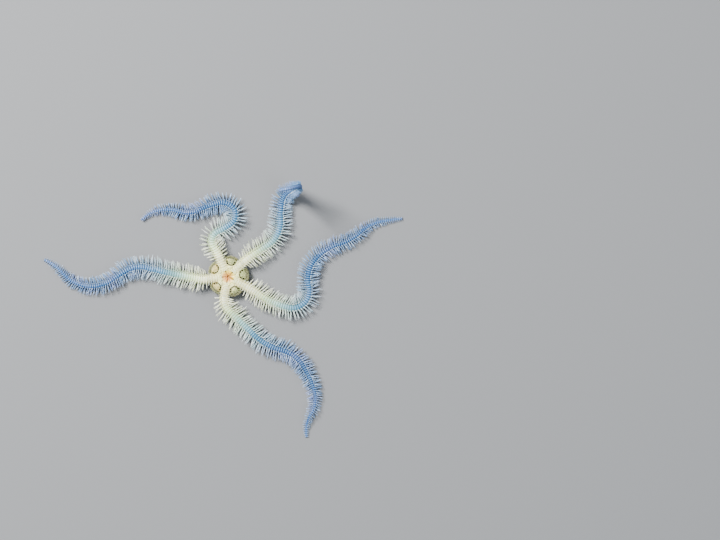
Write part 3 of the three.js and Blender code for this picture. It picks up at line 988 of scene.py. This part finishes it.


# glassy spines: ivory near the disc, blue further out, some painted pale as glints, some with a rosy tip, and
# some deeper, at random and as painted shade
def spinePaint():
    tones = {
        "root": [(0.08, (0.86, 0.84, 0.5)), (0.2, (0.54, 0.62, 0.32)), (0.33, (0.24, 0.38, 0.38)),
                 (0.5, (0.08, 0.17, 0.34)), (1, (0.08, 0.17, 0.38))],
        "tip": [(0.08, (0.94, 0.95, 0.68)), (0.2, (0.86, 0.93, 0.68)), (0.34, (0.54, 0.71, 0.74)),
                (0.5, (0.24, 0.41, 0.66)), (0.8, (0.19, 0.34, 0.6)), (1, (0.22, 0.38, 0.66))],
        "deep": [(0.08, (0.6, 0.62, 0.3)), (0.2, (0.42, 0.5, 0.26)), (0.34, (0.22, 0.35, 0.32)),
                 (0.5, (0.09, 0.21, 0.35)), (1, (0.09, 0.2, 0.38))],
        "pale": [(0.3, (0.93, 0.95, 0.93)), (0.5, (0.7, 0.84, 0.96))],
        "rose": (0.8, 0.62, 0.8), "violet": (0.3, 0.32, 0.62), "shade": (0.86, 0.88, 0.9), "grain": 3000,
    }
    paint = Paint("glassySpine")
    along, reach, tint = paint.value("along"), paint.value("reach"), paint.value("tint")
    root, tip, deep, pale = [paint.ramp(along, tones[key]) for key in ("root", "tip", "deep", "pale")]
    grain = paint.noise(tones["grain"])
    body = paint.blend(root, tip, reach, 0, 0.45)
    # deeper tones where the value is high: random in part, and painted shade on the lower rows and the raised
    # end
    body = paint.blend(body, deep, paint.value("deep"), 0.4, 0.95, 0.7)
    body = paint.addPatches(body, along, tones["violet"])
    rosy = paint.math("MULTIPLY", paint.between(tint, 0.7, 0.95, 0, 0.6), paint.between(reach, 0.35, 1))
    rosy = paint.math("MULTIPLY", rosy, paint.between(along, 0.55, 0.3, 0.25, 1))
    colour = paint.mix(rosy, body, tones["rose"])
    # painted highlight: spines of low tint are paled as glints
    colour = paint.blend(colour, pale, tint, 0.3, 0.08, 0.75)
    colour = paint.shade(colour, grain, 0.3, 0.7, tones["shade"])
    roughness = paint.between(tint, 0, 1, 0.2, 0.42)
    return paint.finish(colour, roughness, paint.bump(grain, 0.00004, 0.5), 0.25, 0.0005)


# one blunt peg along +X, of length 1 and width 1
def makePeg():
    peg = {"sides": 7, "rings": [(0.3, 0.84), (0.62, 0.92), (0.86, 0.72)], "tip": 0.34}
    piece = addRod(peg["sides"], [x for x, wide in peg["rings"]])
    shapeRings(piece, [*peg["rings"], (1, peg["tip"])])
    leaveEdit()
    return piece


jaws = {
    "tip": 0.9, "tipHalf": 0.3, "outerHalf": 0.6, "spread": 31.5, "rise": 0.25, "overlap": 0.15,
    "tipDrop": 0.5, "floor": 0.3, "bevel": 0.13, "groove": 0.16, "grooveHalf": 0.12,
    "grooveCuts": (1.3, 1.8, 2.3), "grooveFrom": 1.2, "grooveAbove": 0.3,
}


# one jaw, along +X: a wedge that slopes down to its tip, with a furrow along its middle
def makeJaw():
    outer, level = animal["mouthRadius"] + jaws["overlap"], animal["oralLevel"]
    low, high = level - animal["mouthDepth"] + jaws["floor"], level + jaws["rise"]
    spread = math.radians(jaws["spread"])
    left = [(outer, jaws["outerHalf"]), (outer * math.cos(spread), outer * math.sin(spread)),
            (jaws["tip"], jaws["tipHalf"])]
    outline = [(x, -y) for x, y in reversed(left)] + left
    bpy.ops.mesh.primitive_circle_add(vertices=len(outline), radius=1, fill_type="NGON")
    piece = bpy.context.object
    setPoints(piece, np.array([(x, y, low) for x, y in outline]))
    edit(piece)
    pickAll()
    bpy.ops.mesh.extrude_region_move(TRANSFORM_OT_translate={"value": (0, 0, high - low)})
    pick(piece, lambda p: p.x < jaws["tip"] + 0.01 and p.z > level, "VERT")
    bpy.ops.transform.translate(value=(0, 0, -jaws["tipDrop"]))
    faceOutwards()
    bevelAll(jaws["bevel"])
    cutAt([(0, hand * jaws["grooveHalf"], 0) for hand in (-1, 0, 1)], (0, 1, 0))
    cutAt([(x, 0, 0) for x in jaws["grooveCuts"]], (1, 0, 0))
    start, above = jaws["grooveFrom"], low + jaws["grooveAbove"]
    pick(piece, lambda p: abs(p.y) < 0.01 and p.z > above and p.x > start, "VERT")
    bpy.ops.transform.translate(value=(0, 0, -jaws["groove"]))
    leaveEdit()
    addModifier(piece, "SUBSURF", levels=1, render_levels=1)
    return piece


def makeJaws():
    return repeatAt(lobeBearings, makeJaw(), "jaws")


papillae = {
    "seed": 3, "rows": 5, "firstRow": 0.06, "rowPitch": 0.21, "columnPitch": 0.25, "shift": 0.05,
    "length": 0.52, "width": 0.27, "height": -0.58, "slope": 0.3, "lean": 0.75, "rowLean": 0.6, "fan": 0.25,
    "rowShorter": 0.25, "vary": {"length": (0.8, 1.1), "width": (0.85, 1.1)},
    "tooth": {"length": 0.5, "width": 0.26, "tint": 0.2}, "toothHeights": (-0.75, -0.45),
    "toothAt": (0.1, 0.16), "toothRise": 0.25,
    "foot": {"length": 1.0, "width": 0.36, "tint": 0.9}, "footLean": 0.3,
    # distance out, across and up from the mouth's floor
    "feet": [(0.95, 0, 0.2), (1.25, 0.09, 0.2), (1.5, -0.1, 0.2), (1.8, 0.1, 0.15), (2.05, -0.08, 0.1),
             (2.4, 0.06, -0.15), (2.75, -0.05, -0.2)],
}


# share of the way round the disc, for the map
def roundShare(place):
    return (math.atan2(place[1], place[0]) / (2 * math.pi) + 0.5) * 0.98


# a dense tuft of papillae on the tip of each jaw, and soft feet in the gaps between the jaws
def makePapillae():
    draw, vary, rows = np.random.default_rng(papillae["seed"]), papillae["vary"], {}
    level = animal["oralLevel"]

    def add(bearing, at, towards, **values):
        out, left = directionsAt(bearing)
        root = out * at[0] + left * at[1] + [0, 0, at[2]]
        patch = (roundShare(root), math.hypot(root[0], root[1]) / animal["mouthRadius"] * 0.98)
        direction = -out * towards[0] + left * towards[1] + [0, 0, towards[2]]
        addRow(rows, root=root, direction=direction, patch=patch, **values)

    for bearing in lobeBearings:
        for row in range(papillae["rows"]):
            reach = papillae["firstRow"] + papillae["rowPitch"] * row
            for column in range(-1 - row // 2, 2 + row // 2):
                shift = draw.uniform(-papillae["shift"], papillae["shift"])
                across = column * papillae["columnPitch"] + shift
                height = level + papillae["height"] + papillae["slope"] * reach
                lean = papillae["lean"] - papillae["rowLean"] * reach
                shorter = 1 - papillae["rowShorter"] * reach
                add(bearing, (jaws["tip"] + reach, across, height), (lean, across * papillae["fan"], 1),
                    length=papillae["length"] * draw.uniform(*vary["length"]) * shorter,
                    width=papillae["width"] * draw.uniform(*vary["width"]), tint=draw.uniform(0, 1))
        # teeth that point to the middle
        out, across = papillae["toothAt"]
        for height in papillae["toothHeights"]:
            for hand in (-1, 1):
                at = (jaws["tip"] + out, hand * across, level + height)
                add(bearing, at, (1, 0, papillae["toothRise"]), **papillae["tooth"])
    for bearing in armBearings:
        for out, across, height in papillae["feet"]:
            at = (out, across, level - animal["mouthDepth"] + height)
            add(bearing, at, (papillae["footLean"], across, 1), **papillae["foot"])
    peg = makePeg()
    made = {key: np.array(value) for key, value in rows.items()}
    piece = scatterUpright(peg, "papillae", made, ("tint",))
    discard(peg)
    return piece


# orange mouth that pales outwards, yellower to the upper right and pinker to the lower left
def mouthPaint(name):
    tones = {
        "yellow": [(0, (0.78, 0.37, 0.08)), (0.3, (0.9, 0.49, 0.1)), (0.58, (0.94, 0.62, 0.11)),
                   (0.8, (0.96, 0.75, 0.14)), (0.93, (0.96, 0.84, 0.22)), (1, (0.96, 0.9, 0.33))],
        "pink": [(0, (0.76, 0.33, 0.1)), (0.3, (0.86, 0.4, 0.13)), (0.58, (0.92, 0.5, 0.17)),
                 (0.8, (0.94, 0.62, 0.22)), (0.93, (0.95, 0.76, 0.3)), (1, (0.96, 0.87, 0.38))],
        "shade": (0.78, 0.74, 0.7), "reach": 3 * mm, "meet": 1.2 * mm, "grain": 2400, "blotch": 900,
    }
    paint = Paint(name)
    x, y, z, r = paint.apart()
    share = paint.math("DIVIDE", r, tones["reach"])
    pink, yellow = [paint.ramp(share, tones[key]) for key in ("pink", "yellow")]
    colour = paint.blend(pink, yellow, paint.math("ADD", x, y), -tones["meet"], tones["meet"])
    blotch = paint.noise(tones["blotch"])
    colour = paint.shade(colour, blotch, 0.35, 0.65, tones["shade"])
    normal = paint.bump(paint.cells(tones["grain"]), 0.00006, 0.6)
    return paint.finish(colour, paint.between(blotch, 0.3, 0.7, 0.22, 0.4), normal, 0.2)


feet = {
    "seed": 21, "length": 1.1, "width": 0.38, "tipSize": 0.45, "first": 4.2, "last": 1.2, "share": 0.3,
    "at": 52.5, "depth": 0.9, "elevation": 58, "lean": 0.3, "bow": 0.15,
    "vary": {"elevation": 9, "lean": 0.15, "length": (0.75, 1.2)},
}


# a soft foot from every pore beside the upper plates
def makeTubeFeet():
    draw, vary, rows = np.random.default_rng(feet["seed"]), feet["vary"], {}
    for number, arm in enumerate(arms):
        s = arm["joints"][:-1] + np.diff(arm["joints"]) * feet["share"]
        s = s[(s > feet["first"]) & (s < arm["length"] - feet["last"])]
        u, count = s / arm["length"], len(s)
        size = taperTo(feet["tipSize"], u)
        for hand in (-1, 1):
            lift = feet["elevation"] + draw.normal(0, vary["elevation"], count)
            lean = draw.normal(feet["lean"], vary["lean"], count)
            root, direction = standOnArm(arm, s, hand, feet["at"], feet["depth"], lift, lean)[:2]
            turn = (number + 0.5 + 0.1 * hand) / len(arms)
            addRow(rows, root=root, direction=direction, width=feet["width"] * size, along=u,
                   length=feet["length"] * size * draw.uniform(*vary["length"], count),
                   patch=np.stack([u * 0.99, np.full(count, turn)], axis=1))
    peg = makePeg()
    piece = scatterUpright(peg, "tubeFeet", joinRows(rows), ("along",), feet["bow"])
    discard(peg)
    return piece


# soft whitish feet, orange by the mouth; their pale tips are partly their own tone and partly a painted glint
def footPaint():
    tones = {
        "tip": [(0.03, (0.9, 0.62, 0.34)), (0.1, (0.95, 0.9, 0.62)), (0.3, (0.86, 0.93, 0.82)),
                (0.5, (0.66, 0.83, 0.97)), (1, (0.76, 0.86, 0.98))],
        "root": [(0.03, (0.76, 0.48, 0.24)), (0.1, (0.82, 0.78, 0.5)), (0.3, (0.46, 0.58, 0.46)),
                 (0.5, (0.12, 0.25, 0.42)), (1, (0.16, 0.27, 0.48))],
        "grain": 5000,
    }
    paint = Paint("softFoot")
    root, tip = [paint.ramp(paint.value("along"), tones[key]) for key in ("root", "tip")]
    # the tips paler than the roots, partly their own tone and partly painted highlight
    colour = paint.blend(root, tip, paint.value("reach"), 0.35, 0.8)
    grain = paint.cells(tones["grain"])
    roughness = paint.between(grain, 0, 0.6, 0.2, 0.4)
    return paint.finish(colour, roughness, paint.bump(grain, 0.00005, 0.7), 0.3, 0.0004)


spinelets = {
    "seed": 11, "count": 3000, "flatness": 0.42, "rayFrom": 30, "sunk": 0.12, "floorRoom": 0.2,
    "length": 1.0, "edgeLength": 0.8, "edge": (2.6, 1.6), "oralShare": 0.42, "oralReach": 0.5, "least": 0.3,
    "width": 0.28, "outwards": 0.8, "vary": {"direction": 0.16, "length": (0.75, 1.1), "width": (0.85, 1.15)},
    # kept clear of the mouth, the margin, the arms above and below, and the bare plates
    "inner": 5, "outer": 0.4, "armClear": 2.4, "armClearFrom": 0.9, "armClearBelow": 0.25,
    "shieldTop": 1.5, "shieldOut": (5.2, 8.5), "shieldAcross": (0.3, 2.25),
    "lobeRim": 0.55, "lobeBack": 0.45, "slitRim": 0.5, "paleOut": (7.5, 1.2),
    "across": {"places": (-104, -66, -28, 28, 66, 104), "apart": 4, "out": 0.42, "rise": 0.22, "length": 0.95,
               "width": 0.3},  # those that stand across the slits
}


# one spinelet along +X, ending in a crown of points
def makeSpinelet():
    spinelet = {"sides": 5, "rings": [(0.35, 0.62), (0.8, 0.6)], "tip": 0.9, "crown": 0.16, "hollow": 0.12}
    piece = addRod(spinelet["sides"], [x for x, wide in spinelet["rings"]])
    shapeRings(piece, [*spinelet["rings"], (1, spinelet["tip"])])
    pick(piece, lambda p: p.x > 0.99)
    bpy.ops.mesh.inset(thickness=spinelet["crown"], depth=-spinelet["hollow"])
    leaveEdit()
    return piece


def within(value, span):
    return span[0] < value < span[1]


# how pale a spinelet is at a place on the disc, or nothing where none grows
def paleAt(place):
    r, isOral = math.hypot(place.x, place.y), place.z > animal["oralLevel"] - spinelets["oralReach"]
    (out,), (across,) = lobePlace(np.array([place]))
    # the same place seen from the nearest arm
    fromArm = math.radians(abs(animal["armStep"]) / 2) - abs(math.atan2(across, out))
    onward, beside = r * math.cos(fromArm), r * math.sin(fromArm)
    clear = spinelets["armClear"] if place.z > spinelets["armClearFrom"] else spinelets["armClearBelow"]
    onDisc = spinelets["inner"] <= r <= animal["discRadius"] + spinelets["outer"] and beside >= clear
    onShield = within(onward, spinelets["shieldOut"]) and within(beside, spinelets["shieldAcross"])
    onShield = onShield and place.z < spinelets["shieldTop"]
    past, fromLobe = out - disc["slitAt"], math.hypot(out - disc["slitAt"], across)
    onLobe = fromLobe < disc["slitRadius"] - spinelets["lobeRim"] or past > spinelets["lobeBack"] * fromLobe
    byLobe = past < 0 or fromLobe < disc["slitRadius"] + spinelets["slitRim"]
    if not onDisc or onShield or (isOral and byLobe and not onLobe):
        return None
    # the paleness fades out towards the disc's rim, as painted shade
    start, reach = spinelets["paleOut"]
    return isOral * onLobe * (1 - float(smoothStep((r - start) / reach)))


# spinelets where a ray towards the middle of the disc meets its skin, between the arms and the plates
def makeSpinelets(skin):
    tree = BVHTree.FromObject(skin, bpy.context.evaluated_depsgraph_get())
    draw, vary, rows = np.random.default_rng(spinelets["seed"]), spinelets["vary"], {}
    level, sunk = animal["oralLevel"], spinelets["sunk"]
    middle = Vector((0, 0, level / 2))
    golden = math.pi * (3 - math.sqrt(5))

    def add(root, direction, length, width, pale=0):
        addRow(rows, root=root, direction=direction, length=length, width=width, tint=draw.uniform(0, 1),
               pale=pale, patch=(roundShare(root), 0.5 + 0.48 * root[2] / 6))

    for number in range(spinelets["count"]):
        z = 1 - 2 * (number + 0.5) / spinelets["count"]
        turn, flat = golden * number, math.sqrt(1 - z * z)
        ray = Vector((math.cos(turn) * flat, math.sin(turn) * flat, z * spinelets["flatness"]))
        hit, normal = tree.ray_cast(middle + ray * spinelets["rayFrom"], -ray)[:2]
        pale = None if hit is None else paleAt(hit)
        if pale is None:
            continue
        edgeAt, edgeReach = spinelets["edge"]
        edge = max(0.0, 1 - abs(hit.z - edgeAt) / edgeReach)
        length = spinelets["length"] + (spinelets["edgeLength"] - spinelets["length"]) * edge
        isOral = hit.z > level - spinelets["oralReach"]
        length *= draw.uniform(*vary["length"]) * (spinelets["oralShare"] if isOral else 1)
        outward = Vector((hit.x, hit.y, 0)).normalized() * spinelets["outwards"]
        direction = (normal + outward + Vector(draw.normal(0, vary["direction"], 3))).normalized()
        root = hit - direction * sunk
        if direction.z < 0:  # clear of the floor
            length = min(length, (root.z - spinelets["floorRoom"]) / -direction.z)
        if length > spinelets["least"]:
            add(root, direction, length, spinelets["width"] * draw.uniform(*vary["width"]), pale)
    # a few stand across the slits beside the lobes
    across = spinelets["across"]
    for bearing in lobeBearings:
        middle = directionsAt(bearing)[0] * disc["slitAt"]
        for place in across["places"]:
            for apart in (-across["apart"], across["apart"]):
                outward = directionsAt(bearing + 180 + place + apart)[0]
                above = middle + outward * (disc["slitRadius"] + across["out"]) + [0, 0, 20]
                root = tree.ray_cast(above, (0, 0, -1))[0] - Vector((0, 0, sunk))
                add(root, [0, 0, across["rise"]] - outward, across["length"], across["width"])
    template = makeSpinelet()
    made = {key: np.array(value, float) for key, value in rows.items()}
    piece = scatterUpright(template, "discSpinelets", made, ("tint", "pale"))
    discard(template)
    return piece


# straw-coloured spinelets with paler crowns
def spineletPaint():
    tones = {
        "root": (0.14, 0.14, 0.06), "straw": (0.42, 0.39, 0.19), "green": (0.22, 0.26, 0.12),
        "pale": (0.8, 0.8, 0.48), "grain": 3500,
    }
    paint = Paint("strawSpinelet")
    body = paint.mix(paint.value("tint"), tones["straw"], tones["green"])
    body = paint.mix(paint.value("pale"), body, tones["pale"])
    colour = paint.blend(body, tones["root"], paint.value("reach"), 0.7, 0.1)
    grain = paint.noise(tones["grain"])
    roughness = paint.between(grain, 0.3, 0.7, 0.25, 0.45)
    return paint.finish(colour, roughness, paint.bump(grain, 0.00004, 0.5), 0.2)


bodyNodes = [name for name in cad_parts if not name.startswith("jaw")]
jawNodes = [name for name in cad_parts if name.startswith("jaw")]
spineletCoat = makeSpinelets(skin)
finishPiece(skin, "skin", skinPaint(), bodyNodes, 38)
finishPiece(spineletCoat, "discSpinelets", spineletPaint())
print("disc spinelets made:", len(spineletCoat.data.polygons), "faces")
finishPiece(makeJaws(), "jaws", mouthPaint("jawSkin"), jawNodes, 50)
finishPiece(makePapillae(), "mouthPapillae", mouthPaint("papillaSkin"))
finishPiece(makeTubeFeet(), "tubeFeet", footPaint())
print("mouth and tube feet made")

spineTemplate = makeSpine()
glassy = spinePaint()
for number, arm in enumerate(arms):
    coat = makeSpines(spineTemplate, arm, spines["seed"] + number)
    finishPiece(coat, arm["name"] + "Spines", glassy)
    print(arm["name"], "spines made:", len(coat.data.polygons), "faces")
discard(spineTemplate)
